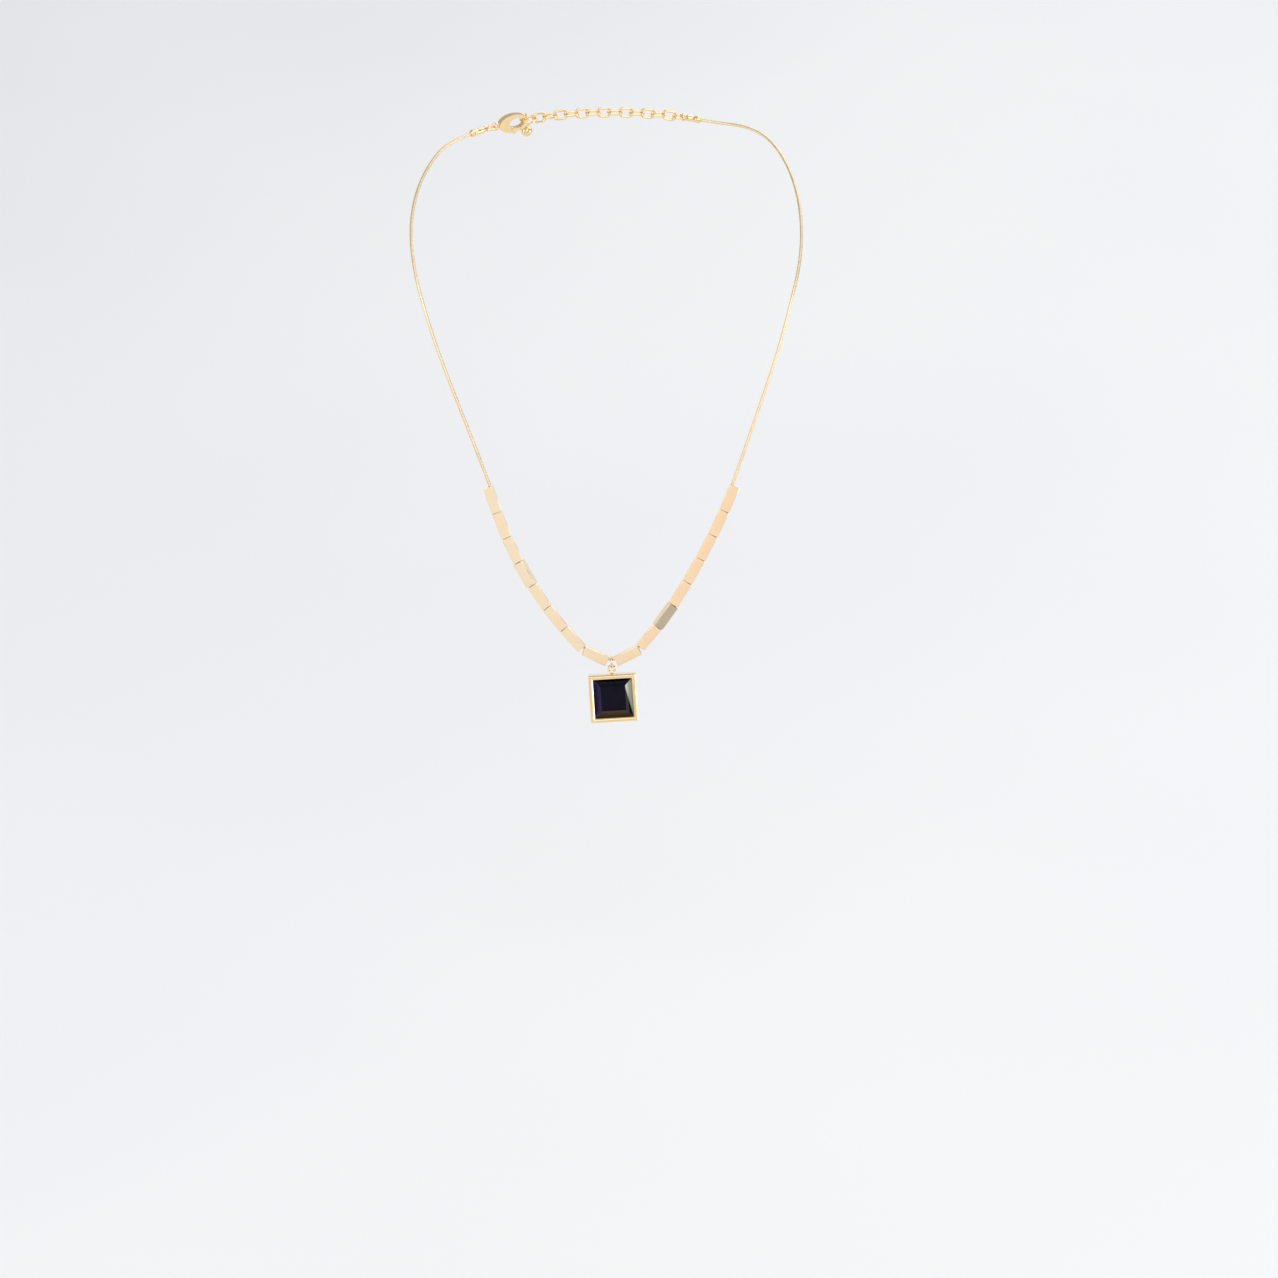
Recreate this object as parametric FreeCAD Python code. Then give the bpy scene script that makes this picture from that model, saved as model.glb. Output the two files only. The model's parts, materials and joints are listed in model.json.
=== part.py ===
import FreeCAD, Part
import math
import os

# Pendant necklace: a snake chain with two wings of hollow square beads, a square
# bezel-set pendant on a bail ring, and a lobster clasp with an extender at the nape.
# Millimetres. The necklace stands as worn: +Z up, the front towards -Y, +X to the
# viewer's right. The origin is the rearmost point of the loop, at the nape.

V = FreeCAD.Vector

# ---- driving dimensions -------------------------------------------------------
CHAIN_D = 0.9            # snake chain, outside diameter
BEAD_LONG = 7.3          # square tube bead: length, side and wall
BEAD_SIDE = 2.85
BEAD_WALL = 0.25
BEAD_EDGE = 0.18         # rounding of the bead's long outer edges

BAIL_WIRE = 0.45         # bail ring: wire and outside diameter
BAIL_OD = 3.5
LOOP_WIRE = 0.55         # ring soldered to the bezel
LOOP_OD = 2.3
RING_PLAY = 0.04         # free play where one wire hangs on another

BEZEL_SIDE = 13.2        # square bezel: outside, depth front to back, lip width
BEZEL_DEEP = 4.4
BEZEL_LIP = 1.2
BEZEL_CHAMFER = 0.35
BEZEL_FOOT = 0.25        # solder neck between the bezel and its ring
SEAT_SIDE = 11.3         # recess that holds the stone's girdle
SEAT_DEEP = 1.6          # from the front of the bezel to the top of the girdle
LEDGE_SIDE = 8.8         # opening in the ledge behind the stone
LEDGE_THICK = 1.0

STONE_SIDE = 11.2        # stone across the girdle
STONE_TABLE = 6.8        # flat table on top
STONE_GIRDLE = 0.5       # height of the upright girdle band
STONE_CROWN = 1.75       # table above the girdle
STONE_STEPS = [(9.0, 0.7), (5.8, 1.4), (1.2, 1.9)]   # pavilion: side, depth below the girdle

CAP_OD = 1.8             # crimped end cap: barrel, bore depth and loop
CAP_BARREL = 4.5
CAP_BORE = 3.0
CAP_FIT = 0.04
EYE_WIRE = 0.6
EYE_OD = 2.2

JUMP_WIRE = 0.55
JUMP_OD = 3.45
LINK_WIRE = 0.7          # oval extender link
LINK_LONG = 4.6
LINK_WIDE = 3.2
LINK_COUNT = 13
END_RING_WIRE = 0.7
END_RING_OD = 5.2
LINK_PLAY = 0.04         # free play at each link-to-link contact
HOOK_PLAY = 0.3          # free play of the end ring in the hook

CLASP_REACH = 10.6       # base eye wire to hook wire, centre to centre
CLASP_THICK = 1.7
CLASP_EYE_WIRE = 0.7
HOOK_WIRE = 1.2
RIVET_D = 0.8
LEVER_FIT = 0.03
LEVER_REACH = 4.8        # rivet to the lever's tip
LEVER_GAP = 0.08         # between the tip and the hook

DROP_RING_WIRE = 0.5
DROP_RING_OD = 3.2
DROP_EYE_WIRE = 0.5
DROP_EYE_OD = 2.0
DROP_BALL_D = 3.2
DROP_TURN = -8.0         # where the drop ring sits round the end ring, degrees from its rear

# ---- how it lies as worn ------------------------------------------------------
NAPE_RADIUS = 60.0       # curve of the loop behind the neck
BAIL_Y = -114.0          # the chain where the pendant hangs
BAIL_Z = -114.0
CHEST_LEAN = 26.0        # the front of the necklace leans back by this, degrees
PENDANT_TILT = 3.5       # the pendant hangs turned by this, right side high

# Angle of each bead from level, the gap before it and its sideways step towards the
# inside of the curve, from the centre of the necklace outwards.
LEFT_WING = [(25.5, 0.00, 0.00), (48.0, 0.72, 0.05), (52.0, 0.16, 0.0), (56.0, 0.16, 0.0),
             (60.0, 0.16, 0.0), (64.5, 0.17, 0.0), (69.0, 0.17, 0.0), (71.0, 0.10, 0.0)]
RIGHT_WING = [(26.0, 0.00, 0.00), (50.0, 0.80, 0.45), (54.5, 0.17, 0.0), (58.5, 0.16, 0.0),
              (60.5, 0.10, 0.0), (62.5, 0.10, 0.0), (65.0, 0.11, 0.0), (67.5, 0.11, 0.0)]
LEFT_ROLL = {5: -15.0}   # beads that lie turned on the chain: number from the centre, degrees
RIGHT_ROLL = {3: 12.0}
WING_START = (1.15, -0.85)

# The snake chain's route, from the left end cap to the right one. Over the neck and
# shoulders each point is X, Y, Z. On the front each is X and the distance up the chest
# from the chain's lowest point.
LEFT_NECK = [(-38.0, -13.65, 0.0), (-46.1, -20.25, 0.0), (-51.4, -29.7, -2.9),
             (-54.7, -39.2, -7.2), (-55.9, -49.3, -12.6), (-54.9, -59.6, -18.7),
             (-52.3, -68.9, -25.6)]
LEFT_CHEST = [(-47.3, 83.6), (-38.5, 61.0), (-33.5, 47.8), (-31.0, 40.7), (-28.3, 33.7),
              (-25.1, 27.0), (-21.4, 20.6), (-17.2, 14.4), (-12.7, 8.5), (-7.76, 2.56),
              (-3.9, 0.88), (-1.0, -0.3)]
RIGHT_CHEST = [(1.0, -0.3), (3.9, 0.88), (7.72, 2.58), (12.25, 8.9), (16.45, 15.1),
               (20.3, 21.4), (23.95, 27.9), (27.43, 34.48), (30.57, 41.17), (33.38, 47.95),
               (38.05, 61.6), (45.6, 83.6)]
RIGHT_NECK = [(49.7, -68.9, -25.6), (52.2, -59.6, -18.7), (52.9, -49.3, -12.6),
              (51.9, -39.2, -7.2), (49.2, -29.7, -2.6), (44.5, -20.3, 0.9),
              (38.1, -12.7, 1.2), (30.5, -7.7, 0.0), (22.55, -4.48, 0.0)]

os.makedirs("parts", exist_ok=True)
LEAN = math.radians(CHEST_LEAN)
OUTWARD = V(0, -math.cos(LEAN), math.sin(LEAN))   # away from the chest
UPWARD = V(0, math.sin(LEAN), math.cos(LEAN))     # up the chest


def save(name, shape):
    """One closed node. The solid is checked before it is written."""
    if shape.ShapeType == "Compound" and len(shape.Solids) == 1:
        shape = shape.Solids[0]
    if not shape.isValid() or len(shape.Solids) != 1:
        raise RuntimeError(name + " is not one valid solid")
    shape.exportStep("parts/" + name + ".step")
    print("%-22s %9.3f mm3" % (name, shape.Volume))


def chest(x, up, out=0.0):
    """A point given by X, the distance up the chest and the distance off its plane."""
    return V(x, BAIL_Y, BAIL_Z) + UPWARD * up + OUTWARD * out


def nape(t):
    """The point a distance t along the curve behind the neck, to the right of the origin."""
    angle = t / NAPE_RADIUS
    return V(NAPE_RADIUS * math.sin(angle), NAPE_RADIUS * (math.cos(angle) - 1), 0)


def frame(origin, u, w):
    """Placement of a piece drawn with X along u and Z near w."""
    u = V(u).normalize()
    v = V(w).cross(u).normalize()
    w = u.cross(v)
    m = FreeCAD.Matrix(u.x, v.x, w.x, origin.x, u.y, v.y, w.y, origin.y,
                       u.z, v.z, w.z, origin.z, 0, 0, 0, 1)
    return FreeCAD.Placement(m)


def put(shape, placement):
    moved = shape.copy()
    moved.Placement = placement.multiply(shape.Placement)
    return moved


def torus(centre, axis, outside, wire):
    return Part.makeTorus((outside - wire) / 2, wire / 2, centre, axis)


def square(side, z):
    h = side / 2
    pts = [V(-h, -h, z), V(h, -h, z), V(h, h, z), V(-h, h, z), V(-h, -h, z)]
    return Part.makePolygon(pts)


def square_taper(side_a, z_a, side_b, z_b):
    return Part.makeLoft([square(side_a, z_a), square(side_b, z_b)], True, True)


def square_block(side, z_a, z_b):
    return Part.makeBox(side, side, z_b - z_a, V(-side / 2, -side / 2, z_a))


# ---- snake chain --------------------------------------------------------------
def rounded_path(points):
    """Straight runs joined by tangent arcs as large as the two runs allow."""
    edges = []
    radii = []
    at = points[0]
    for i in range(1, len(points) - 1):
        a, b, c = points[i - 1], points[i], points[i + 1]
        u = (b - a)
        v = (c - b)
        short = min(u.Length, v.Length)
        u.normalize()
        v.normalize()
        half = u.getAngle(v) / 2
        radius = 0.45 * short / math.tan(half)
        radii.append(radius)
        start = b - u * 0.45 * short
        end = b + v * 0.45 * short
        inward = (v - u).normalize()
        middle = b + inward * radius * (1 / math.cos(half) - 1)
        edges.append(Part.LineSegment(at, start).toShape())
        edges.append(Part.Arc(start, middle, end).toShape())
        at = end
    edges.append(Part.LineSegment(at, points[-1]).toShape())
    return Part.Wire(edges), radii


route = [V(*p) for p in LEFT_NECK]
route += [chest(*p) for p in LEFT_CHEST + RIGHT_CHEST]
route += [V(*p) for p in RIGHT_NECK]
path, radii = rounded_path(route)
section = Part.Wire(Part.makeCircle(CHAIN_D / 2, route[0], route[1] - route[0]))
chain = path.makePipeShell([section], True, False)
ideal = math.pi * CHAIN_D ** 2 / 4 * path.Length
print("chain radii " + " ".join("%.1f" % r for r in radii))
print("chain length %.1f mm, volume / (section x length) %.4f" % (path.Length, chain.Volume / ideal))
save("snake_chain", chain)


# ---- square tube beads --------------------------------------------------------
def bead():
    """A hollow square tube along X, centred, with rounded long edges."""
    side, bore = BEAD_SIDE, BEAD_SIDE - 2 * BEAD_WALL
    outer = Part.makeBox(BEAD_LONG, side, side, V(-BEAD_LONG / 2, -side / 2, -side / 2))
    long_edges = [e for e in outer.Edges if abs(e.Length - BEAD_LONG) < 1e-6]
    outer = outer.makeFillet(BEAD_EDGE, long_edges)
    hole = Part.makeBox(BEAD_LONG + 2, bore, bore, V(-BEAD_LONG / 2 - 1, -bore / 2, -bore / 2))
    return outer.cut(hole)


def wing(side, start, rows):
    """Each bead's middle, direction and inward side, from the centre outwards."""
    at = V(side * start[0], start[1], 0)
    before = None
    places = []
    for angle, gap, step in rows:
        a = math.radians(angle)
        along = V(side * math.cos(a), math.sin(a), 0)
        inward = V(-side * math.sin(a), math.cos(a), 0)
        if before is not None:
            at = at + (before + along) * (gap / 2)
        at = at + inward * step
        places.append((at + along * (BEAD_LONG / 2), along))
        at = at + along * BEAD_LONG
        before = along
    return places


tube = bead()
bead_axes = []
for word, side, rows, rolls in (("left", -1, LEFT_WING, LEFT_ROLL), ("right", 1, RIGHT_WING, RIGHT_ROLL)):
    for number, (middle, along) in enumerate(wing(side, WING_START, rows), 1):
        u = V(along.x, 0, 0) + UPWARD * along.y
        place = frame(chest(middle.x, middle.y), u, OUTWARD)
        roll = FreeCAD.Placement(V(), FreeCAD.Rotation(V(1, 0, 0), rolls.get(number, 0.0)))
        name = "bar_bead_%s_%d" % (word, number)
        save(name, put(tube, place.multiply(roll)))
        bead_axes.append((name, place.Base, u))

# ---- bail ring and pendant ----------------------------------------------------
chain_up = -0.3          # height of the chain's centre line at the middle
bail_r = (BAIL_OD - BAIL_WIRE) / 2
bail_up = chain_up + CHAIN_D / 2 + RING_PLAY + BAIL_WIRE / 2 - bail_r
save("bail_ring", torus(chest(0, bail_up), V(1, 0, 0), BAIL_OD, BAIL_WIRE))

# The pendant is drawn with its swing point at the origin, Z out of the stone and Y up.
loop_r = (LOOP_OD - LOOP_WIRE) / 2
loop_y = -(loop_r - LOOP_WIRE / 2 - RING_PLAY - BAIL_WIRE / 2)
bezel_y = loop_y - LOOP_OD / 2 - BEZEL_FOOT - BEZEL_SIDE / 2
back_z = -BEAD_SIDE / 2
front_z = back_z + BEZEL_DEEP

loop = torus(V(0, loop_y, 0), V(0, 0, 1), LOOP_OD, LOOP_WIRE)
foot_top = loop_y - LOOP_OD / 2 + LOOP_WIRE / 2
foot = Part.makeCylinder(0.45, foot_top - (bezel_y + BEZEL_SIDE / 2),
                         V(0, bezel_y + BEZEL_SIDE / 2, 0), V(0, 1, 0))
loop = loop.fuse(foot).removeSplitter()

# Bezel and stone are drawn round their own middle and then moved down to the bezel's place.
opening = BEZEL_SIDE - 2 * BEZEL_LIP
girdle_top = front_z - SEAT_DEEP
girdle_low = girdle_top - STONE_GIRDLE
stone = square_block(STONE_SIDE, girdle_low, girdle_top)
stone = stone.fuse(square_taper(STONE_SIDE, girdle_top, STONE_TABLE, girdle_top + STONE_CROWN))
pavilion = [(STONE_SIDE, 0.0)] + STONE_STEPS
for (side_a, z_a), (side_b, z_b) in zip(pavilion, pavilion[1:]):
    stone = stone.fuse(square_taper(side_b, girdle_low - z_b, side_a, girdle_low - z_a))
stone = stone.removeSplitter()

bezel = square_block(BEZEL_SIDE, back_z, front_z - BEZEL_CHAMFER)
bezel = bezel.fuse(square_taper(BEZEL_SIDE, front_z - BEZEL_CHAMFER,
                                BEZEL_SIDE - 2 * BEZEL_CHAMFER, front_z))
bezel = bezel.cut(square_block(opening, back_z - 1, front_z + 1))
bezel = bezel.cut(square_block(SEAT_SIDE, girdle_low, girdle_top + 0.1))
ledge = square_block(BEZEL_SIDE - BEZEL_LIP, girdle_low - LEDGE_THICK, girdle_low)
ledge = ledge.cut(square_block(LEDGE_SIDE, back_z - 1, front_z))
bezel = bezel.fuse(ledge).cut(stone).removeSplitter()
for piece in (bezel, stone):
    piece.translate(V(0, bezel_y, 0))

swing_up = bail_up - bail_r
hang = frame(chest(0, swing_up), V(1, 0, 0), OUTWARD)
tilt = FreeCAD.Placement(V(), FreeCAD.Rotation(V(0, 0, 1), PENDANT_TILT))
pendant = hang.multiply(tilt)
save("pendant_loop", put(loop, pendant))
save("bezel_frame", put(bezel, pendant))
save("square_stone", put(stone, pendant))


# ---- end caps -----------------------------------------------------------------
def end_cap():
    """A closed barrel along +X with the chain's end in its bore, and an eye. X = 0 is the chain's end."""
    mouth = -CAP_BORE
    barrel = Part.makeCylinder(CAP_OD / 2, CAP_BARREL, V(mouth, 0, 0), V(1, 0, 0))
    barrel = barrel.makeFillet(0.3, [barrel.Edges[0], barrel.Edges[2]])
    lip = torus(V(mouth + 0.75, 0, 0), V(1, 0, 0), CAP_OD + 0.3, 0.4)
    eye = torus(V(cap_eye_x, 0, 0), V(0, 1, 0), EYE_OD, EYE_WIRE)
    bore = Part.makeCylinder(CHAIN_D / 2 + CAP_FIT, CAP_BORE + 1, V(mouth - 1, 0, 0), V(1, 0, 0))
    return barrel.fuse([lip, eye]).cut(bore).removeSplitter()


eye_r = (EYE_OD - EYE_WIRE) / 2
cap_eye_x = CAP_BARREL - CAP_BORE + eye_r
eye_reach = cap_eye_x + eye_r
cap = end_cap()
ends = {}
for word, end, inner in (("left", route[0], route[1]), ("right", route[-1], route[-2])):
    u = (end - inner).normalize()
    save("end_cap_" + word, put(cap, frame(end, u, V(0, 0, 1))))
    ends[word] = end + u * eye_reach


# ---- rings and links at the nape ----------------------------------------------
def oval_link():
    """A stadium of round wire in the XY plane, long along X."""
    bend = (LINK_WIDE - LINK_WIRE) / 2
    straight = LINK_LONG - LINK_WIDE
    r = LINK_WIRE / 2
    link = None
    for s in (-1, 1):
        disc = Part.Face(Part.Wire(Part.makeCircle(r, V(s * straight / 2, bend, 0), V(1, 0, 0))))
        turn = disc.revolve(V(s * straight / 2, 0, 0), V(0, 0, -s), 180)
        rod = Part.makeCylinder(r, straight, V(-straight / 2, s * bend, 0), V(1, 0, 0))
        link = turn.fuse(rod) if link is None else link.fuse([turn, rod])
    return link.removeSplitter()


def along_nape(point):
    """How far along the nape curve a point lies, to the right of the origin."""
    return NAPE_RADIUS * math.asin(point.x / NAPE_RADIUS)


flat = V(0, 0, 1)        # a ring whose plane is level
rows = [("jump_ring_left", JUMP_WIRE, JUMP_WIRE, JUMP_OD - JUMP_WIRE),
        ("clasp", CLASP_EYE_WIRE, HOOK_WIRE, CLASP_REACH),
        ("end_ring", END_RING_WIRE, END_RING_WIRE, END_RING_OD - END_RING_WIRE)]
rows += [("extender_link_%d" % n, LINK_WIRE, LINK_WIRE, LINK_LONG - LINK_WIRE)
         for n in range(LINK_COUNT, 0, -1)]
rows += [("jump_ring_right", JUMP_WIRE, JUMP_WIRE, JUMP_OD - JUMP_WIRE)]

spots = {}
far = along_nape(ends["left"])
wire = EYE_WIRE
for name, near_wire, far_wire, reach in rows:
    near = far - (wire + near_wire) / 2 - (HOOK_PLAY if name == "end_ring" else LINK_PLAY)
    far = near + reach
    wire = far_wire
    spots[name] = (nape(near), nape(far))
play = far - (wire + EYE_WIRE) / 2 - along_nape(ends["right"])
print("play left at the right end cap's eye %.3f mm" % play)

ring = torus(V(), flat, JUMP_OD, JUMP_WIRE)
end_ring = torus(V(), flat, END_RING_OD, END_RING_WIRE)
link = oval_link()
on_edge = FreeCAD.Placement(V(), FreeCAD.Rotation(V(1, 0, 0), 90))
roll_axes = []
for name, (a, b) in spots.items():
    place = frame((a + b) * 0.5, b - a, flat)
    roll_axes.append((name, place.Base, b - a))
    if name.startswith("jump"):
        save(name, put(ring, place))
    if name == "end_ring":
        save(name, put(end_ring, place))
        turn = FreeCAD.Placement(V(), FreeCAD.Rotation(flat, DROP_TURN))
        drop_place = place.multiply(turn)
    if name.startswith("extender"):
        upright = int(name.split("_")[-1]) % 2 == 1
        save(name, put(link, place.multiply(on_edge) if upright else place))


# ---- lobster clasp ------------------------------------------------------------
# Drawn in the XZ plane with the base eye's far wire at X = 0 and the hook at +X.
def slab(shape_2d, thick):
    shape_2d.translate(V(0, thick / 2, 0))
    return shape_2d.extrude(V(0, -thick, 0))


def ellipse_face(cx, a, b):
    e = Part.Ellipse(V(cx + a, 0, 0), V(cx, 0, b), V(cx, 0, 0))
    return Part.Face(Part.Wire(e.toShape()))


def box(x0, x1, y, z0, z1):
    return Part.makeBox(x1 - x0, 2 * y, z1 - z0, V(x0, -y, z0))


EYE_SPAN = 1.9                                   # base eye, centre to centre of its wire
HEAD = 2.0                                       # where the body starts
BACK = CLASP_REACH + HOOK_WIRE / 2               # outer end of the hook
WINDOW_X = 7.6                                   # middle of the window
CHEEK_X = 5.75                                   # where the cheeks end and the arm starts
ARM_X = 5.95
PIVOT = V(3.9, 0, -1.15)
CHEEK = 0.46                                     # half the slot between the two cheeks
TONGUE = 0.4                                     # half the lever's tongue
TONGUE_TOP = -0.55
SLOT_TOP = -0.25
SPRING_X = 4.75
SPRING_TOP = 0.75

outline = slab(ellipse_face((HEAD + BACK) / 2, (BACK - HEAD) / 2, 2.7), CLASP_THICK)
window = slab(ellipse_face(WINDOW_X, BACK - HOOK_WIRE - WINDOW_X, 1.5), CLASP_THICK + 1)
band = outline.cut(window)
eye = torus(V(EYE_SPAN / 2, 0, 0), V(0, 1, 0), EYE_SPAN + CLASP_EYE_WIRE, CLASP_EYE_WIRE)


def about_rivet(radius, half):
    return Part.makeCylinder(radius, 2 * half, PIVOT - V(0, half, 0), V(0, 1, 0))


mouth = box(CHEEK_X, BACK, 2, -4, SLOT_TOP).common(about_rivet(LEVER_REACH + LEVER_GAP, 3))
body = band.cut(mouth)
body = body.cut(box(3.0, CHEEK_X + 1, CHEEK, -4, SLOT_TOP).common(about_rivet(LEVER_REACH, 3)))
body = body.cut(box(SPRING_X - 0.5, CHEEK_X, CHEEK, SLOT_TOP - 1, SPRING_TOP))
body = body.cut(about_rivet(RIVET_D / 2, 3))
body = body.fuse(eye).removeSplitter()

arm = band.common(box(ARM_X, BACK, 2, -4, TONGUE_TOP)).common(about_rivet(LEVER_REACH, 3))
thumb = Part.makeCylinder(0.45, CLASP_THICK, V(6.6, -CLASP_THICK / 2, -2.75), V(0, 1, 0))
tongue = about_rivet(0.78, TONGUE).fuse(box(PIVOT.x, ARM_X + 0.4, TONGUE, -1.9, TONGUE_TOP - 0.6))
tongue = tongue.fuse(box(PIVOT.x, CHEEK_X - 0.15, TONGUE, -1.9, TONGUE_TOP))
lever = arm.fuse([thumb, tongue]).cut(about_rivet(RIVET_D / 2 + LEVER_FIT, 3)).removeSplitter()
rivet = about_rivet(RIVET_D / 2, CLASP_THICK / 2)
spring_h = SPRING_TOP - TONGUE_TOP
spring = Part.makeCylinder(0.34, spring_h, V(SPRING_X, 0, TONGUE_TOP))
spring = spring.cut(Part.makeCylinder(0.18, spring_h, V(SPRING_X, 0, TONGUE_TOP)))

a, b = spots["clasp"]
clasp_place = frame(a, b - a, flat)
for name, shape in (("clasp_body", body), ("clasp_lever", lever), ("clasp_rivet", rivet),
                    ("clasp_spring", spring)):
    save(name, put(shape, clasp_place))
lever_axis = clasp_place.multVec(PIVOT)

# ---- drop at the end of the extender ------------------------------------------
# Drawn from the end ring's rear wire, with Z up.
ring_r = (END_RING_OD - END_RING_WIRE) / 2
drop_r = (DROP_RING_OD - DROP_RING_WIRE) / 2
drop_z = (END_RING_WIRE + DROP_RING_WIRE) / 2 + RING_PLAY - drop_r
drop_ring = torus(V(0, ring_r, drop_z), V(1, 0, 0), DROP_RING_OD, DROP_RING_WIRE)
save("drop_ring", put(drop_ring, drop_place))
eye_mean = (DROP_EYE_OD - DROP_EYE_WIRE) / 2
low_z = drop_z - drop_r
eye_z = low_z + (DROP_RING_WIRE + DROP_EYE_WIRE) / 2 + RING_PLAY - eye_mean
ball_z = eye_z - eye_mean - DROP_BALL_D / 2 + 0.1
drop = torus(V(0, ring_r, eye_z), V(0, 1, 0), DROP_EYE_OD, DROP_EYE_WIRE)
drop = drop.fuse(Part.makeSphere(DROP_BALL_D / 2, V(0, ring_r, ball_z)))
save("end_drop", put(drop.removeSplitter(), drop_place))

# ---- hinge axes, for the record ------------------------------------------------
x_axis, y_axis = V(1, 0, 0), V(0, 1, 0)
turn_back = drop_place.Rotation
pivots = [("bail_ring", chest(0, chain_up), x_axis),
          ("pendant", hang.Base, OUTWARD),
          ("clasp_lever", clasp_place.multVec(PIVOT), -clasp_place.Rotation.multVec(y_axis)),
          ("drop_ring", drop_place.multVec(V(0, ring_r, 0)), turn_back.multVec(x_axis)),
          ("end_drop", drop_place.multVec(V(0, ring_r, low_z)), turn_back.multVec(y_axis))]
for name, point, axis in bead_axes + roll_axes + pivots:
    axis = V(axis).normalize()
    print("axis %s %.6f %.6f %.6f %.9f %.9f %.9f"
          % (name, point.x, point.y, point.z, axis.x, axis.y, axis.z))
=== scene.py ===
import json
import math

import bpy
import numpy as np
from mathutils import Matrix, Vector


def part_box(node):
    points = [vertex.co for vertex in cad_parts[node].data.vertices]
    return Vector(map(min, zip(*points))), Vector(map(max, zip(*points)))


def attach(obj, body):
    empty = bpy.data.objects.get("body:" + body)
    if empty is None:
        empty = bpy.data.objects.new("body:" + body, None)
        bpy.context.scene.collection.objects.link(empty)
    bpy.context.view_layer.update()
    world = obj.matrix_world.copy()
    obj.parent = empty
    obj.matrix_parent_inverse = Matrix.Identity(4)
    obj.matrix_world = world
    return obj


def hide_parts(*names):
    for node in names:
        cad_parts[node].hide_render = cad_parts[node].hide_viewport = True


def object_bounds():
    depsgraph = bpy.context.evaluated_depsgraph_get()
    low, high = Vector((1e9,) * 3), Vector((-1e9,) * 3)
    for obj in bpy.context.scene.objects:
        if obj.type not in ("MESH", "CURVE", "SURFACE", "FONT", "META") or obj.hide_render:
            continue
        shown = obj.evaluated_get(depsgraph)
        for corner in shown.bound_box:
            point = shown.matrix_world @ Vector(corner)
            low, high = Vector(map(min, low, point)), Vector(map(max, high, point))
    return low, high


# Pendant necklace: a snake chain, two wings of hollow square beads, a square stone in a
# bezel, and a lobster clasp with an extender. Metres, in the CAD frame.

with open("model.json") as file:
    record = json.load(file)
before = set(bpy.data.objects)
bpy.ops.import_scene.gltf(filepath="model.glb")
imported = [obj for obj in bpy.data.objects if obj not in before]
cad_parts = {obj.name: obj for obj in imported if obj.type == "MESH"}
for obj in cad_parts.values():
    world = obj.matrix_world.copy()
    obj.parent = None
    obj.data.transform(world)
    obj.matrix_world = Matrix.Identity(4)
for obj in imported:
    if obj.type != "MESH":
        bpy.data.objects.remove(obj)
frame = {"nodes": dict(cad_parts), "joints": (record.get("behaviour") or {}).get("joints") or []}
cad_low, cad_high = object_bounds()
MM = 0.001
JOINTS = {j["name"]: j for j in frame["joints"]}

# ---- sizes that repeat the CAD model's ---------------------------------------
CHAIN_D = 0.9 * MM
BEAD_LONG, BEAD_SIDE, BEAD_WALL = 7.3 * MM, 2.85 * MM, 0.25 * MM
RING_PLAY = 0.04 * MM           # free play where one wire hangs on another
BAIL_OD, BAIL_WIRE = 3.5 * MM, 0.45 * MM
LOOP_OD, LOOP_WIRE = 2.3 * MM, 0.55 * MM
BEZEL_SIDE, BEZEL_DEEP, BEZEL_LIP = 13.2 * MM, 4.4 * MM, 1.2 * MM
BEZEL_CHAMFER, BEZEL_FOOT = 0.35 * MM, 0.25 * MM
BEZEL_FRONT = 2.975 * MM        # front of the bezel, forward of the pendant's hinge
SEAT_SIDE, SEAT_DEEP = 11.3 * MM, 1.6 * MM
LEDGE_SIDE, LEDGE_THICK = 8.8 * MM, 1.0 * MM
STONE_TABLE, STONE_GIRDLE = 6.8 * MM, 0.5 * MM
CAP_BARREL, CAP_BORE = 4.5 * MM, 3.0 * MM
EYE_OD, EYE_WIRE = 2.2 * MM, 0.6 * MM
JUMP_OD, JUMP_WIRE = 3.45 * MM, 0.55 * MM
LINK_LONG, LINK_WIDE, LINK_WIRE = 4.6 * MM, 3.2 * MM, 0.7 * MM
LINK_COUNT = 13
END_RING_OD, END_RING_WIRE = 5.2 * MM, 0.7 * MM
DROP_RING_OD, DROP_RING_WIRE = 3.2 * MM, 0.5 * MM
DROP_EYE_OD, DROP_EYE_WIRE = 2.0 * MM, 0.5 * MM
DROP_BALL_D, DROP_BALL_SUNK = 3.2 * MM, 0.1 * MM
CHEST_LEAN = math.radians(26)
OUTWARD = Vector((0, -math.cos(CHEST_LEAN), math.sin(CHEST_LEAN)))
UPWARD = Vector((0, math.sin(CHEST_LEAN), math.cos(CHEST_LEAN)))
BAIL = Vector((0, -114 * MM, -114 * MM))


# ---- sizes that only the visual model has ------------------------------------
PLATE_LONG = 0.46 * MM          # one plate of the snake chain along its run
PLATE_WAVE = 0.10 * MM          # how far a plate's edge waves along the chain
PLATE_GROOVE = 0.14             # depth between plates, as a share of the radius
BEAD_RIM = 0.05 * MM            # easing at a bead's ends
RING_CUT = 0.03 * MM            # the cut where a ring was closed with pliers
END_RING_SLIM = 0.02 * MM       # the end ring is slimmer by this, to clear the clasp
BURNISH_WIDE, BURNISH_DEEP = 0.4 * MM, 0.275 * MM       # slope of the lip to the stone
HIGHLIGHT_PAINT_LEAN = (8.8, 2.0)         # square to the edge of the painted highlight on the stone: rightward, upward
HIGHLIGHT_PAINT_BLUR = 0.2 * MM           # half the width of that edge


# ---- camera ------------------------------------------------------------------
CAMERA_AWAY = 0.9
CAMERA_DOWN = math.radians(32.3)
CAMERA_RIGHT, CAMERA_ABOVE = 7.6 * MM, 6.4 * MM
CAMERA_LENS = 91.3


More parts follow.
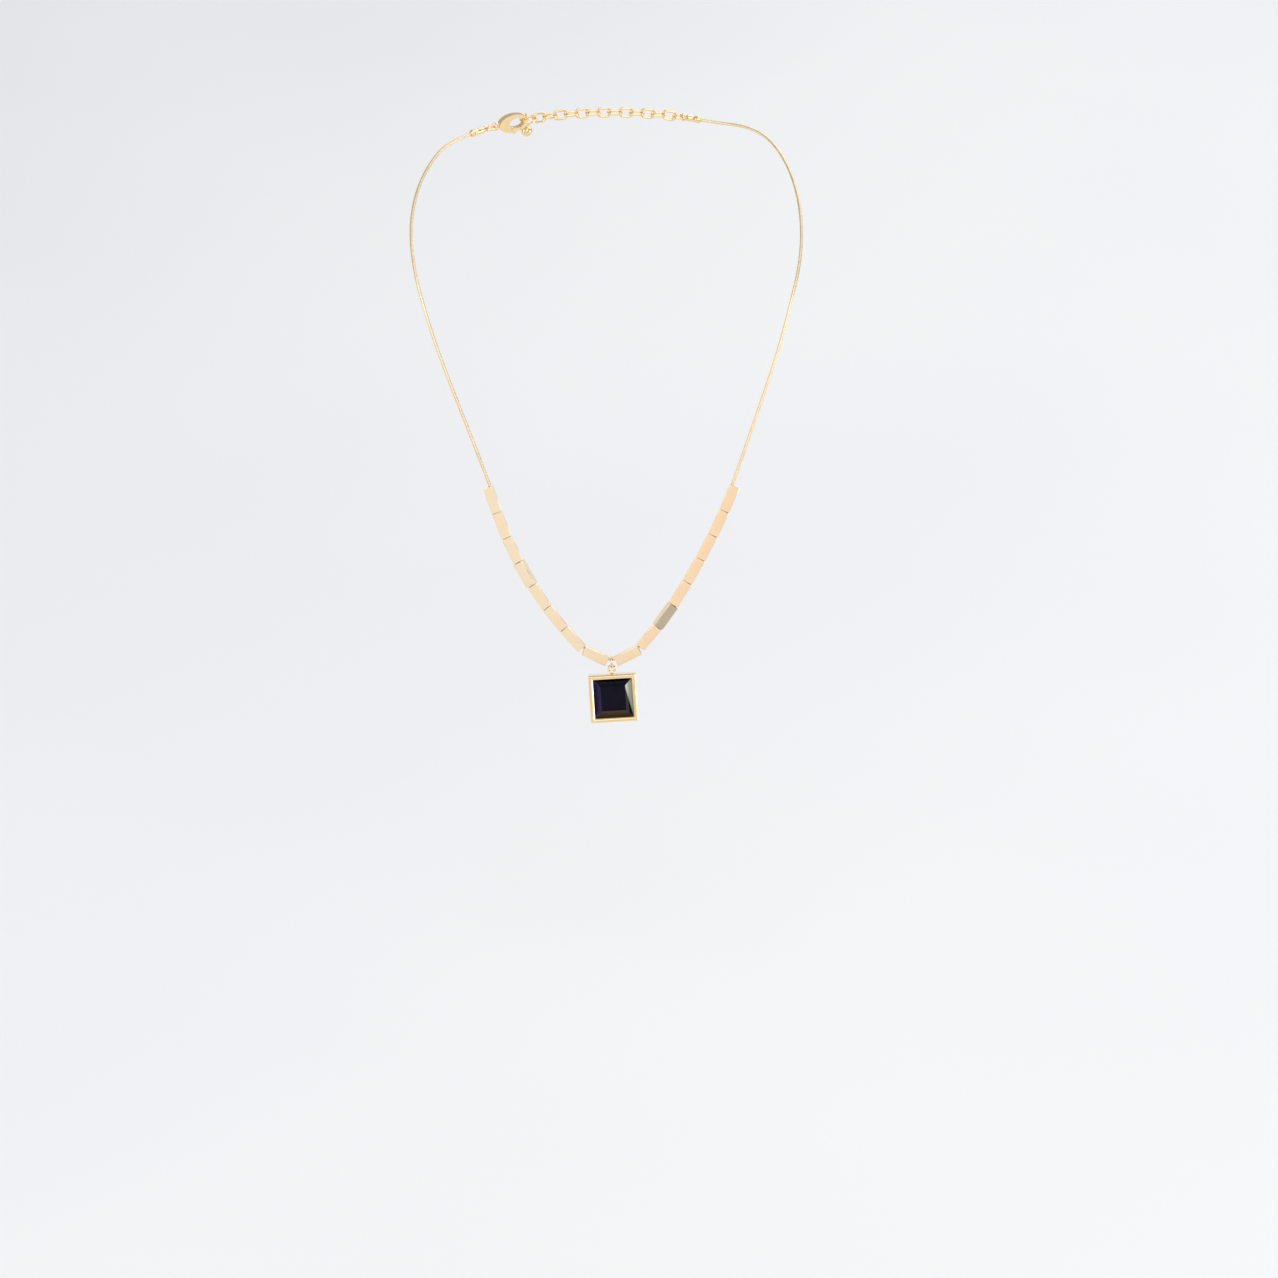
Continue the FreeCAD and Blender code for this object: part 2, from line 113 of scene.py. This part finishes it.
def make_camera():
    """Looks along +Y and down at the bail ring from arm's length."""
    low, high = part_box("bail_ring")
    aim = (low + high) / 2
    ahead = Vector((0, math.cos(CAMERA_DOWN), -math.sin(CAMERA_DOWN)))
    above = Vector((0, math.sin(CAMERA_DOWN), math.cos(CAMERA_DOWN)))
    data = bpy.data.cameras.new("camera")
    data.sensor_width = 36.0
    data.lens = CAMERA_LENS
    data.clip_start = 0.05
    data.clip_end = 50
    camera = bpy.data.objects.new("camera", data)
    camera.location = (aim - ahead * CAMERA_AWAY + Vector((1, 0, 0)) * CAMERA_RIGHT
                       + above * CAMERA_ABOVE)
    camera.rotation_euler = (math.pi / 2 - CAMERA_DOWN, 0, 0)
    bpy.context.scene.collection.objects.link(camera)
    bpy.context.scene.camera = camera


make_camera()


# ---- materials ---------------------------------------------------------------
def node_material(name):
    mat = bpy.data.materials.new(name)
    mat.use_nodes = True
    tree = mat.node_tree
    shader = tree.nodes["Principled BSDF"]
    place = tree.nodes.new("ShaderNodeTexCoord")
    return mat, tree, shader, place


def noise(tree, place, scale, detail=3.0, stretch=None):
    """Noise in the part's own metres, so its grain has a real size."""
    tex = tree.nodes.new("ShaderNodeTexNoise")
    tex.inputs["Scale"].default_value = scale
    tex.inputs["Detail"].default_value = detail
    source = place.outputs["Object"]
    if stretch:
        mapping = tree.nodes.new("ShaderNodeMapping")
        mapping.inputs["Scale"].default_value = stretch
        tree.links.new(source, mapping.inputs["Vector"])
        source = mapping.outputs["Vector"]
    tree.links.new(source, tex.inputs["Vector"])
    return tex


def ramp(tree, source, low, high, start=0.35, end=0.65):
    """Maps a value between start and end to one between low and high."""
    node = tree.nodes.new("ShaderNodeMapRange")
    node.inputs["From Min"].default_value = start
    node.inputs["From Max"].default_value = end
    node.inputs["To Min"].default_value = low
    node.inputs["To Max"].default_value = high
    tree.links.new(source, node.inputs["Value"])
    return node.outputs["Result"]


def gold(name, colour, deep, rough, grain=2600.0, wave=0.15):
    """Polished gold plate: faint colour drift, hazy patches, hairline scratches."""
    mat, tree, shader, place = node_material(name)
    shader.inputs["Metallic"].default_value = 1.0
    shader.inputs["IOR"].default_value = 1.5
    drift = noise(tree, place, 160.0)
    mix = tree.nodes.new("ShaderNodeMix")
    mix.data_type = "RGBA"
    mix.inputs["A"].default_value = (*colour, 1)
    mix.inputs["B"].default_value = (*deep, 1)
    tree.links.new(ramp(tree, drift.outputs["Fac"], 0.0, 0.55), mix.inputs["Factor"])
    tree.links.new(mix.outputs["Result"], shader.inputs["Base Color"])
    haze = noise(tree, place, 700.0, 5.0)
    tree.links.new(ramp(tree, haze.outputs["Fac"], rough * 0.75, rough * 1.5),
                   shader.inputs["Roughness"])
    hair = noise(tree, place, grain, 4.0, (1.0, 0.22, 1.0))
    bump = tree.nodes.new("ShaderNodeBump")
    bump.inputs["Strength"].default_value = wave
    bump.inputs["Distance"].default_value = 0.000012
    tree.links.new(hair.outputs["Fac"], bump.inputs["Height"])
    tree.links.new(bump.outputs["Normal"], shader.inputs["Normal"])
    return mat


def band(tree, value, start, end):
    """0 below start, 1 above end."""
    return ramp(tree, value, 0.0, 1.0, start, end)


def tinted(tree, base, colour, weight):
    """Base colour with another colour mixed in by a weight."""
    mix = tree.nodes.new("ShaderNodeMix")
    mix.data_type = "RGBA"
    mix.inputs["B"].default_value = (*colour, 1)
    tree.links.new(base, mix.inputs["A"])
    tree.links.new(weight, mix.inputs["Factor"])
    return mix.outputs["Result"]


def dark_stone(right, up, corner):
    """Near-black navy glass, with painted reflections and a painted highlight on its facets.

    Left facets get a painted purple reflection, lower facets a painted brown reflection, and the
    right bevel a painted highlight above a slanting line through corner, the table's upper right
    one.
    """
    mat, tree, shader, place = node_material("dark_stone")
    shader.inputs["Roughness"].default_value = 0.06
    shader.inputs["IOR"].default_value = 1.55

    def along(source, axis):
        node = tree.nodes.new("ShaderNodeVectorMath")
        node.operation = "DOT_PRODUCT"
        node.inputs[1].default_value = axis
        tree.links.new(place.outputs[source], node.inputs[0])
        return node.outputs["Value"]

    cloud = noise(tree, place, 220.0, 4.0)
    mix = tree.nodes.new("ShaderNodeMix")
    mix.data_type = "RGBA"
    mix.inputs["A"].default_value = (0.0012, 0.0012, 0.0050, 1)
    mix.inputs["B"].default_value = (0.0045, 0.0030, 0.0120, 1)
    tree.links.new(ramp(tree, cloud.outputs["Fac"], 0.0, 1.0), mix.inputs["Factor"])
    facing_right = along("Normal", right)
    facing_up = along("Normal", up)
    # Edge of the painted highlight: a slanting line through the table's upper right corner.
    split = (right * HIGHLIGHT_PAINT_LEAN[0] + up * HIGHLIGHT_PAINT_LEAN[1]).normalized()
    beyond = along("Object", split)
    limit = corner.dot(split)
    painted_highlight = tree.nodes.new("ShaderNodeMath")
    painted_highlight.operation = "MULTIPLY"
    tree.links.new(band(tree, facing_right, 0.3, 0.45), painted_highlight.inputs[0])
    tree.links.new(band(tree, beyond, limit - HIGHLIGHT_PAINT_BLUR, limit + HIGHLIGHT_PAINT_BLUR), painted_highlight.inputs[1])
    # Painted reflection: left-facing facets tinted purple-navy.
    colour = tinted(tree, mix.outputs["Result"], (0.022, 0.014, 0.055),
                    band(tree, facing_right, -0.3, -0.45))
    # Painted reflection: downward-facing facets tinted brown, standing for the gold bezel seen in
    # them.
    colour = tinted(tree, colour, (0.060, 0.038, 0.022), band(tree, facing_up, -0.3, -0.45))
    # Painted highlight: pale grey-green colour on right-facing facets past that line, with a
    # higher specular level there too.
    colour = tinted(tree, colour, (0.42, 0.45, 0.38), painted_highlight.outputs["Value"])
    tree.links.new(colour, shader.inputs["Base Color"])
    tree.links.new(ramp(tree, painted_highlight.outputs["Value"], 0.10, 0.6, 0.0, 1.0),
                   shader.inputs["Specular IOR Level"])
    return mat


def plain_steel():
    mat, tree, shader, place = node_material("spring_steel")
    shader.inputs["Metallic"].default_value = 1.0
    shader.inputs["Base Color"].default_value = (0.55, 0.55, 0.57, 1)
    haze = noise(tree, place, 1500.0, 4.0)
    tree.links.new(ramp(tree, haze.outputs["Fac"], 0.18, 0.34), shader.inputs["Roughness"])
    return mat


def floor_paint():
    mat, tree, shader, place = node_material("studio_floor")
    shader.inputs["Roughness"].default_value = 0.6
    shade = noise(tree, place, 3.0, 2.0)
    mix = tree.nodes.new("ShaderNodeMix")
    mix.data_type = "RGBA"
    mix.inputs["A"].default_value = (0.86, 0.86, 0.86, 1)
    mix.inputs["B"].default_value = (0.83, 0.83, 0.835, 1)
    tree.links.new(ramp(tree, shade.outputs["Fac"], 0.0, 1.0), mix.inputs["Factor"])
    tree.links.new(mix.outputs["Result"], shader.inputs["Base Color"])
    return mat


BEAD_GOLD = gold("bead_gold", (0.98, 0.80, 0.54), (0.96, 0.75, 0.47), 0.10)
CHAIN_GOLD = gold("chain_gold", (0.93, 0.74, 0.46), (0.86, 0.64, 0.36), 0.20, 5200.0, 0.25)
FINDING_GOLD = gold("finding_gold", (0.95, 0.74, 0.42), (0.90, 0.66, 0.34), 0.11)
STEEL = plain_steel()


# ---- mesh helpers ------------------------------------------------------------
def piece(name, verts, faces, body, material, node, sharp):
    """A mesh piece in place of a CAD node: smooth except over sharp corners, on its body."""
    mesh = bpy.data.meshes.new(name)
    mesh.from_pydata([tuple(v) for v in verts], [], faces)
    mesh.validate()
    mesh.shade_smooth()
    mesh.set_sharp_from_angle(angle=math.radians(sharp))
    mesh.materials.append(material)
    obj = bpy.data.objects.new(name, mesh)
    bpy.context.scene.collection.objects.link(obj)
    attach(obj, body)
    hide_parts(node)
    return obj


def flat_faces(obj):
    """Lets the large faces set the normals, so that flat sides stay flat up to their rims."""
    weigh = obj.modifiers.new("normals", "WEIGHTED_NORMAL")
    weigh.keep_sharp = True
    weigh.weight = 100


def soften_edges(obj, width, sharp):
    """Rounds the edges that turn by more than sharp degrees."""
    soften = obj.modifiers.new("edge", "BEVEL")
    soften.width = width
    soften.segments = 3
    soften.limit_method = "ANGLE"
    soften.angle_limit = math.radians(sharp)
    soften.harden_normals = True


def axes(u, near):
    """Unit axes u, v, w, with u along the piece and w as near as can be to near."""
    u = Vector(u).normalized()
    v = Vector(near).cross(u).normalized()
    return u, v, u.cross(v)


def placed(points, origin, u, v, w):
    return [origin + u * p[0] + v * p[1] + w * p[2] for p in points]


def joint_place(name):
    joint = JOINTS[name]
    return Vector(joint["pos_m"]), Vector(joint["axis"])


def face_normal(node, across, towards):
    """Normal of the node's largest flat side that is square to across, nearest to towards."""
    sides = {}
    for poly in frame["nodes"][node].data.polygons:
        n = poly.normal
        if abs(n.dot(across)) < 0.02 and n.dot(towards) > 0.3:
            key = tuple(round(c, 2) for c in n)
            area, total = sides.get(key, (0.0, Vector()))
            sides[key] = (area + poly.area, total + n * poly.area)
    return max(sides.values(), key=lambda s: s[0])[1].normalized()


def grid_faces(rows, columns, closed_rows=False):
    """Quads between rings of vertices, each ring closed on itself."""
    faces = []
    for i in range(rows if closed_rows else rows - 1):
        for j in range(columns):
            a = i * columns
            b = (i + 1) % rows * columns
            k = (j + 1) % columns
            faces.append((a + j, a + k, b + k, b + j))
    return faces


# ---- snake chain -------------------------------------------------------------
# The route, from the left end cap to the right one. Over the neck each point is X, Y, Z.
# On the front each is X and the distance up the chest from the lowest point.
LEFT_NECK = [(-38.0, -13.65, 0.0), (-46.1, -20.25, 0.0), (-51.4, -29.7, -2.9),
             (-54.7, -39.2, -7.2), (-55.9, -49.3, -12.6), (-54.9, -59.6, -18.7),
             (-52.3, -68.9, -25.6)]
LEFT_CHEST = [(-47.3, 83.6), (-38.5, 61.0), (-33.5, 47.8), (-31.0, 40.7), (-28.3, 33.7),
              (-25.1, 27.0), (-21.4, 20.6), (-17.2, 14.4), (-12.7, 8.5), (-7.76, 2.56),
              (-3.9, 0.88), (-1.0, -0.3)]
RIGHT_CHEST = [(1.0, -0.3), (3.9, 0.88), (7.72, 2.58), (12.25, 8.9), (16.45, 15.1),
               (20.3, 21.4), (23.95, 27.9), (27.43, 34.48), (30.57, 41.17), (33.38, 47.95),
               (38.05, 61.6), (45.6, 83.6)]
RIGHT_NECK = [(49.7, -68.9, -25.6), (52.2, -59.6, -18.7), (52.9, -49.3, -12.6),
              (51.9, -39.2, -7.2), (49.2, -29.7, -2.6), (44.5, -20.3, 0.9),
              (38.1, -12.7, 1.2), (30.5, -7.7, 0.0), (22.55, -4.48, 0.0)]


def chain_route():
    route = [Vector(p) * MM for p in LEFT_NECK]
    route += [BAIL + Vector((x, 0, 0)) * MM + UPWARD * up * MM
              for x, up in LEFT_CHEST + RIGHT_CHEST]
    return route + [Vector(p) * MM for p in RIGHT_NECK]


def route_line(points):
    """Points on the smooth NURBS line of the route."""
    curve = bpy.data.curves.new("route", "CURVE")
    curve.dimensions = "3D"
    curve.resolution_u = 32
    spline = curve.splines.new("NURBS")
    spline.points.add(len(points) - 1)
    for at, p in zip(spline.points, points):
        at.co = (*p, 1)
    spline.order_u = 3
    spline.use_endpoint_u = True
    holder = bpy.data.objects.new("route", curve)
    bpy.context.scene.collection.objects.link(holder)
    mesh = bpy.data.meshes.new_from_object(holder)
    line = np.array([v.co[:] for v in mesh.vertices])
    bpy.data.objects.remove(holder)
    bpy.data.curves.remove(curve)
    bpy.data.meshes.remove(mesh)
    return line


def resample(line, step):
    gaps = np.linalg.norm(np.diff(line, axis=0), axis=1)
    run = np.concatenate([[0], np.cumsum(gaps)])
    count = int(run[-1] / step) + 1
    at = np.linspace(0, run[-1], count)
    return np.stack([np.interp(at, run, line[:, k]) for k in range(3)], 1), at


def carried_sides(points):
    """Two vectors square to the line and to each other, turning as little as possible."""
    ahead = np.gradient(points, axis=0)
    ahead /= np.linalg.norm(ahead, axis=1)[:, None]
    side = np.zeros_like(points)
    last = np.cross(ahead[0], (0, 0, 1.0))
    for i, t in enumerate(ahead):
        last = last - t * last.dot(t)
        last /= np.linalg.norm(last)
        side[i] = last
    return side, np.cross(ahead, side)


def snake_chain():
    """Wavy plates closely stacked along the route, each a little convex."""
    rows_per_plate = 6
    around = 16
    line = route_line(chain_route())
    points, run = resample(line, PLATE_LONG / rows_per_plate)
    side, other = carried_sides(points)
    angle = np.arange(around) * 2 * math.pi / around
    phase = (run[:, None] + PLATE_WAVE * np.cos(2 * angle)[None, :]) / PLATE_LONG
    crown = np.abs(np.sin(math.pi * phase)) ** 0.45
    radius = CHAIN_D / 2 * (1 - PLATE_GROOVE + PLATE_GROOVE * crown)
    ring = (side[:, None, :] * np.cos(angle)[None, :, None]
            + other[:, None, :] * np.sin(angle)[None, :, None])
    verts = (points[:, None, :] + ring * radius[:, :, None]).reshape(-1, 3)
    faces = grid_faces(len(points), around)
    faces.append(tuple(range(around))[::-1])
    faces.append(tuple((len(points) - 1) * around + j for j in range(around)))
    obj = piece("snake_chain_plates", verts.tolist(), faces, "necklace_chain",
                CHAIN_GOLD, "snake_chain", 60)
    length = float(np.linalg.norm(np.diff(line, axis=0), axis=1).sum())
    return length


chain_length = snake_chain()


# ---- beads -------------------------------------------------------------------
def rounded_square(side, corner, steps):
    """Outline of a square with round corners, as (y, z) points in order."""
    half = side / 2 - corner
    points = []
    for quarter in range(4):
        cy, cz = ((1, 1), (-1, 1), (-1, -1), (1, -1))[quarter]
        for k in range(steps + 1):
            a = math.pi / 2 * (quarter + k / steps)
            points.append((cy * half + corner * math.cos(a), cz * half + corner * math.sin(a)))
    return points


def bead_mesh():
    """A length of square tube: round long edges, eased rims and a clean bore."""
    steps = 4
    rim = BEAD_RIM
    end = BEAD_LONG / 2
    bore = BEAD_SIDE - 2 * BEAD_WALL
    outer = [(-end, BEAD_SIDE - 2 * rim, 0.14), (-end + rim * 0.3, BEAD_SIDE - 0.6 * rim, 0.17),
             (-end + rim, BEAD_SIDE, 0.18)]
    outer += [(-x, side, corner) for x, side, corner in outer[::-1]]
    inner = [(end, bore + rim, 0.06), (end - rim, bore, 0.05), (-end + rim, bore, 0.05),
             (-end, bore + rim, 0.06)]
    rings = outer + inner
    verts = []
    for x, side, corner in rings:
        verts += [(x, y, z) for y, z in rounded_square(side, corner * MM, steps)]
    return verts, grid_faces(len(rings), 4 * (steps + 1), True)


def make_beads():
    verts, faces = bead_mesh()
    for word in ("left", "right"):
        for number in range(1, 9):
            node = "bar_bead_%s_%d" % (word, number)
            middle, along = joint_place("bead_%s_%d_turn" % (word, number))
            front = face_normal(node, along, OUTWARD)
            u, v, w = axes(along, front)
            bead = piece("bead_tube_%s_%d" % (word, number), placed(verts, middle, u, v, w),
                         faces, node, BEAD_GOLD, node, 35)
            flat_faces(bead)


make_beads()


# ---- round wire findings -----------------------------------------------------
def wire_loop(line, radius, around=20, cut=False):
    """Round wire along a flat closed line of points, whole or with a cut joint."""
    line = np.array(line)
    count = len(line)
    ahead = np.roll(line, -1, axis=0) - np.roll(line, 1, axis=0)
    ahead /= np.linalg.norm(ahead, axis=1)[:, None]
    flat = np.cross(ahead[0], ahead[count // 4])
    flat /= np.linalg.norm(flat)
    out = np.cross(ahead, flat)
    angle = np.arange(around) * 2 * math.pi / around
    ring = (out[:, None, :] * np.cos(angle)[None, :, None]
            + flat[None, None, :] * np.sin(angle)[None, :, None])
    verts = (line[:, None, :] + ring * radius).reshape(-1, 3)
    faces = grid_faces(count, around, not cut)
    if cut:
        faces.append(tuple(range(around))[::-1])
        faces.append(tuple((count - 1) * around + j for j in range(around)))
    return verts, faces


def circle_line(centre, a, b, radius, count=72, gap=0.0, start=0.0):
    """Points round a circle in the plane of a and b, leaving a gap of that angle."""
    span = 2 * math.pi - gap
    last = count - 1 if gap else count
    points = []
    for i in range(count):
        t = start + gap / 2 + span * i / last
        points.append(centre + a * (radius * math.cos(t)) + b * (radius * math.sin(t)))
    return points


def ring_piece(node, body, axis, outside, wire, cut_at=None):
    """A wire ring in place of a CAD ring, open by a hair where it was closed with pliers."""
    low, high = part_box(node)
    centre = (low + high) / 2
    a, b = axes(Vector(axis).cross((0.3, 0.2, 1)), axis)[:2]
    gap = 0.0 if cut_at is None else RING_CUT / (outside / 2)
    line = circle_line(centre, a, b, (outside - wire) / 2, 72, gap, cut_at or 0.0)
    verts, faces = wire_loop(line, wire / 2, 20, cut_at is not None)
    piece(node + "_wire", verts, faces, body, FINDING_GOLD, node, 50)


def oval_line(centre, u, v, long, wide, steps=18):
    """Points round a stadium, long along u."""
    bend = wide / 2
    straight = (long - wide) / 2
    points = []
    for sign in (1, -1):
        for k in range(steps + 1):
            t = -math.pi / 2 + math.pi * k / steps
            points.append(centre + u * sign * (straight + bend * math.cos(t))
                          + v * sign * bend * math.sin(t))
    return points


def make_rings():
    rightward, upright = (1, 0, 0), (0, 0, 1)
    ring_piece("bail_ring", "bail_ring", rightward, BAIL_OD, BAIL_WIRE, 1.2)
    for node in ("jump_ring_left", "jump_ring_right"):
        ring_piece(node, node, upright, JUMP_OD, JUMP_WIRE, 0.8)
    ring_piece("end_ring", "end_ring", upright, END_RING_OD - END_RING_SLIM,
               END_RING_WIRE - END_RING_SLIM)
    drop_axis = joint_place("drop_ring_swing")[1]
    ring_piece("drop_ring", "drop_ring", drop_axis, DROP_RING_OD, DROP_RING_WIRE, 2.0)


make_rings()


def make_links():
    for number in range(1, LINK_COUNT + 1):
        node = "extender_link_%d" % number
        centre, along = joint_place(node + "_roll")
        u, v, w = axes(along, (0, 0, 1))
        across = w if number % 2 else v
        line = oval_line(centre, u, across, LINK_LONG - LINK_WIRE, LINK_WIDE - LINK_WIRE)
        verts, faces = wire_loop(line, LINK_WIRE / 2, 18)
        piece(node + "_wire", verts, faces, node, FINDING_GOLD, node, 50)


make_links()


# ---- lathe-turned findings ---------------------------------------------------
def turned(profile, origin, u, around=40):
    """A surface of revolution round u from (along, radius) points; radius 0 closes an end."""
    u, v, w = axes(u, (0.1, 0.2, 1))
    verts, faces = [], []
    rings = []
    for along, radius in profile:
        if radius == 0:
            rings.append([len(verts)])
            verts.append(origin + u * along)
            continue
        rings.append(list(range(len(verts), len(verts) + around)))
        for j in range(around):
            t = 2 * math.pi * j / around
            verts.append(origin + u * along + v * radius * math.cos(t) + w * radius * math.sin(t))
    for a, b in zip(rings, rings[1:]):
        for j in range(around):
            k = (j + 1) % around
            if len(a) == 1:
                faces.append((a[0], b[k], b[j]))
            elif len(b) == 1:
                faces.append((a[j], a[k], b[0]))
            else:
                faces.append((a[j], a[k], b[k], b[j]))
    return verts, faces


def joined(*parts):
    verts, faces = [], []
    for some_verts, some_faces in parts:
        base = len(verts)
        verts += list(some_verts)
        faces += [tuple(base + i for i in f) for f in some_faces]
    return verts, faces


def end_cap(word, end, inner):
    """Barrel with a rolled lip and a crimped waist, and a soldered eye."""
    u = (end - inner).normalized()
    # In mm: along the barrel from the chain's end, and the radius there.
    profile = [(-2.95, 0.0), (-2.95, 0.5), (-3.0, 0.53), (-3.0, 0.80), (-2.92, 0.88),
               (-2.55, 0.9), (-2.47, 0.98), (-2.38, 1.03), (-2.25, 1.05), (-2.12, 1.03),
               (-2.03, 0.98), (-1.95, 0.9), (-1.5, 0.9), (-1.3, 0.87), (-1.0, 0.84), (-0.7, 0.83),
               (-0.4, 0.84), (-0.1, 0.87), (0.1, 0.9), (1.15, 0.9), (1.3, 0.87), (1.42, 0.78),
               (1.49, 0.62), (1.5, 0.5), (1.5, 0.0)]
    barrel = turned([(a * MM, r * MM) for a, r in profile], end, u)
    above = axes(u, (0, 0, 1))[2]
    eye_r = (EYE_OD - EYE_WIRE) / 2
    eye_centre = end + u * (CAP_BARREL - CAP_BORE + eye_r)
    eye = wire_loop(circle_line(eye_centre, u, above, eye_r, 48), EYE_WIRE / 2)
    verts, faces = joined(barrel, eye)
    node = "end_cap_" + word
    piece(node + "_turned", verts, faces, "necklace_chain", FINDING_GOLD, node, 45)


route = chain_route()
end_cap("left", route[0], route[1])
end_cap("right", route[-1], route[-2])


def end_drop():
    """A ball with a soldered eye."""
    pivot, axis = joint_place("end_drop_swing")
    down = Vector((0, 0, -1))
    radius = DROP_BALL_D / 2
    eye_r = (DROP_EYE_OD - DROP_EYE_WIRE) / 2
    eye_drop = eye_r - (DROP_RING_WIRE + DROP_EYE_WIRE) / 2 - RING_PLAY
    ball_top = eye_drop + eye_r - DROP_BALL_SUNK
    steps = 28
    profile = [(ball_top + radius * (1 - math.cos(math.pi * k / steps)),
                radius * math.sin(math.pi * k / steps)) for k in range(steps + 1)]
    profile[0] = (profile[0][0], 0)
    profile[-1] = (profile[-1][0], 0)
    ball = turned(profile, pivot, down, 56)
    u = Vector(axis).cross(down).normalized()
    eye = wire_loop(circle_line(pivot + down * eye_drop, u, down, eye_r, 48), DROP_EYE_WIRE / 2)
    verts, faces = joined(ball, eye)
    piece("end_drop_ball", verts, faces, "end_drop", FINDING_GOLD, "end_drop", 50)


end_drop()


# ---- pendant -----------------------------------------------------------------
def pendant_axes():
    """Middle of the pendant's ring, and unit vectors to the pendant's right, up and front."""
    pivot, front = joint_place("pendant_swing")
    up = face_normal("bezel_frame", front, UPWARD)
    hang = LOOP_OD / 2 - LOOP_WIRE - BAIL_WIRE / 2 - RING_PLAY
    return pivot - up * hang, up.cross(front), up, front


def pendant_loop():
    """Ring soldered to the bezel through a small flared foot."""
    centre, right, up = pendant_axes()[:3]
    loop_r = (LOOP_OD - LOOP_WIRE) / 2
    loop = wire_loop(circle_line(centre, right, up, loop_r, 64), LOOP_WIRE / 2)
    # In mm: down from the ring's middle, and the radius there.
    profile = [(0.86, 0.0), (0.86, 0.24), (1.05, 0.3), (1.2, 0.4), (1.32, 0.52), (1.4, 0.68),
               (1.4, 0.0)]
    foot = turned([(a * MM, r * MM) for a, r in profile], centre, -up, 32)
    verts, faces = joined(loop, foot)
    piece("pendant_loop_wire", verts, faces, "pendant", FINDING_GOLD,
          "pendant_loop", 50)


pendant_loop()


def bezel():
    """Square frame with mitred corners, chamfered outside and burnished in over the stone.

    Returns the pendant's right and up, and the upper right corner of the stone's table.
    """
    loop_centre, right, up, front = pendant_axes()
    half = BEZEL_SIDE / 2
    centre = loop_centre - up * (LOOP_OD / 2 + BEZEL_FOOT + half)
    back = BEZEL_FRONT - BEZEL_DEEP
    girdle_top = BEZEL_FRONT - SEAT_DEEP
    girdle_low = girdle_top - STONE_GIRDLE
    ledge_low = girdle_low - LEDGE_THICK
    seat = half - SEAT_SIDE / 2
    ledge = half - LEDGE_SIDE / 2
    # How far in from the outside, and how far forward.
    profile = [(0, back), (0, BEZEL_FRONT - BEZEL_CHAMFER), (BEZEL_CHAMFER, BEZEL_FRONT),
               (BEZEL_LIP - BURNISH_WIDE, BEZEL_FRONT), (BEZEL_LIP, BEZEL_FRONT - BURNISH_DEEP),
               (BEZEL_LIP, girdle_top), (seat, girdle_top), (seat, girdle_low),
               (ledge, girdle_low), (ledge, ledge_low), (BEZEL_LIP, ledge_low),
               (BEZEL_LIP, back)]
    verts = []
    for inset, forward in profile:
        side = half - inset
        for a, b in ((1, 1), (-1, 1), (-1, -1), (1, -1)):
            verts.append(centre + right * a * side + up * b * side + front * forward)
    obj = piece("bezel_frame_mitred", verts, grid_faces(len(profile), 4, True), "pendant",
                FINDING_GOLD, "bezel_frame", 20)
    soften_edges(obj, 0.07 * MM, 20)
    flat_faces(obj)
    return right, up, centre + (right + up) * STONE_TABLE / 2


def dress_node(node, material, sharp, bevel=0.0):
    """A CAD node that stays: its material, sharp edges kept sharp, the rest smooth."""
    obj = frame["nodes"][node]
    obj.data.materials.clear()
    obj.data.materials.append(material)
    obj.data.shade_smooth()
    obj.data.set_sharp_from_angle(angle=math.radians(sharp))
    if bevel:
        soften_edges(obj, bevel, sharp)
    flat_faces(obj)


STONE = dark_stone(*bezel())
dress_node("square_stone", STONE, 10, 0.03 * MM)
dress_node("clasp_rivet", FINDING_GOLD, 30, 0.05 * MM)
dress_node("clasp_spring", STEEL, 30)
dress_node("clasp_body", FINDING_GOLD, 30, 0.08 * MM)
dress_node("clasp_lever", FINDING_GOLD, 30, 0.08 * MM)


# ---- studio ------------------------------------------------------------------
def make_floor():
    """A pale plane a little below the pendant."""
    half = 6.0
    z = cad_low.z - 0.09
    mesh = bpy.data.meshes.new("studio_floor")
    mesh.from_pydata([(-half, -half, z), (half, -half, z), (half, half, z), (-half, half, z)], [],
                     [(0, 1, 2, 3)])
    mesh.materials.append(floor_paint())
    obj = bpy.data.objects.new("studio_floor", mesh)
    bpy.context.scene.collection.objects.link(obj)


def softbox(name, towards, distance, width, height, radiance, colour=(1, 1, 1)):
    """A soft rectangular light in a direction from the pendant, as bright as radiance."""
    data = bpy.data.lights.new(name, "AREA")
    data.shape = "RECTANGLE"
    data.size = width
    data.size_y = height
    data.energy = radiance * math.pi * width * height
    data.color = colour
    light = bpy.data.objects.new(name, data)
    direction = Vector(towards).normalized()
    light.location = BAIL + direction * distance
    light.rotation_mode = "QUATERNION"
    light.rotation_quaternion = direction.to_track_quat("Z", "Y")
    bpy.context.scene.collection.objects.link(light)


def make_studio():
    make_floor()
    world = bpy.data.worlds.new("studio")
    world.use_nodes = True
    world.node_tree.nodes["Background"].inputs["Color"].default_value = (0.93, 0.96, 1.0, 1)
    world.node_tree.nodes["Background"].inputs["Strength"].default_value = 0.55
    bpy.context.scene.world = world
    softbox("front_left", (-0.38, -0.94, 0.33), 3.0, 2.2, 2.0, 1.0, (0.42, 0.42, 0.45))
    softbox("front_right", (0.36, -0.94, 0.42), 3.0, 2.2, 1.5, 1.0, (0.45, 0.33, 0.27))
    softbox("overhead", (-0.1, -0.5, 0.86), 1.4, 1.4, 1.2, 1.5)
    softbox("back", (0.45, 0.75, 0.75), 1.5, 1.6, 1.2, 1.3)
    softbox("left", (-1.0, -0.25, 0.35), 1.3, 0.5, 0.9, 1.4)
    softbox("right", (1.0, -0.25, 0.10), 1.2, 0.5, 0.7, 3.0)
    bpy.context.scene.view_settings.view_transform = "Standard"


make_studio()
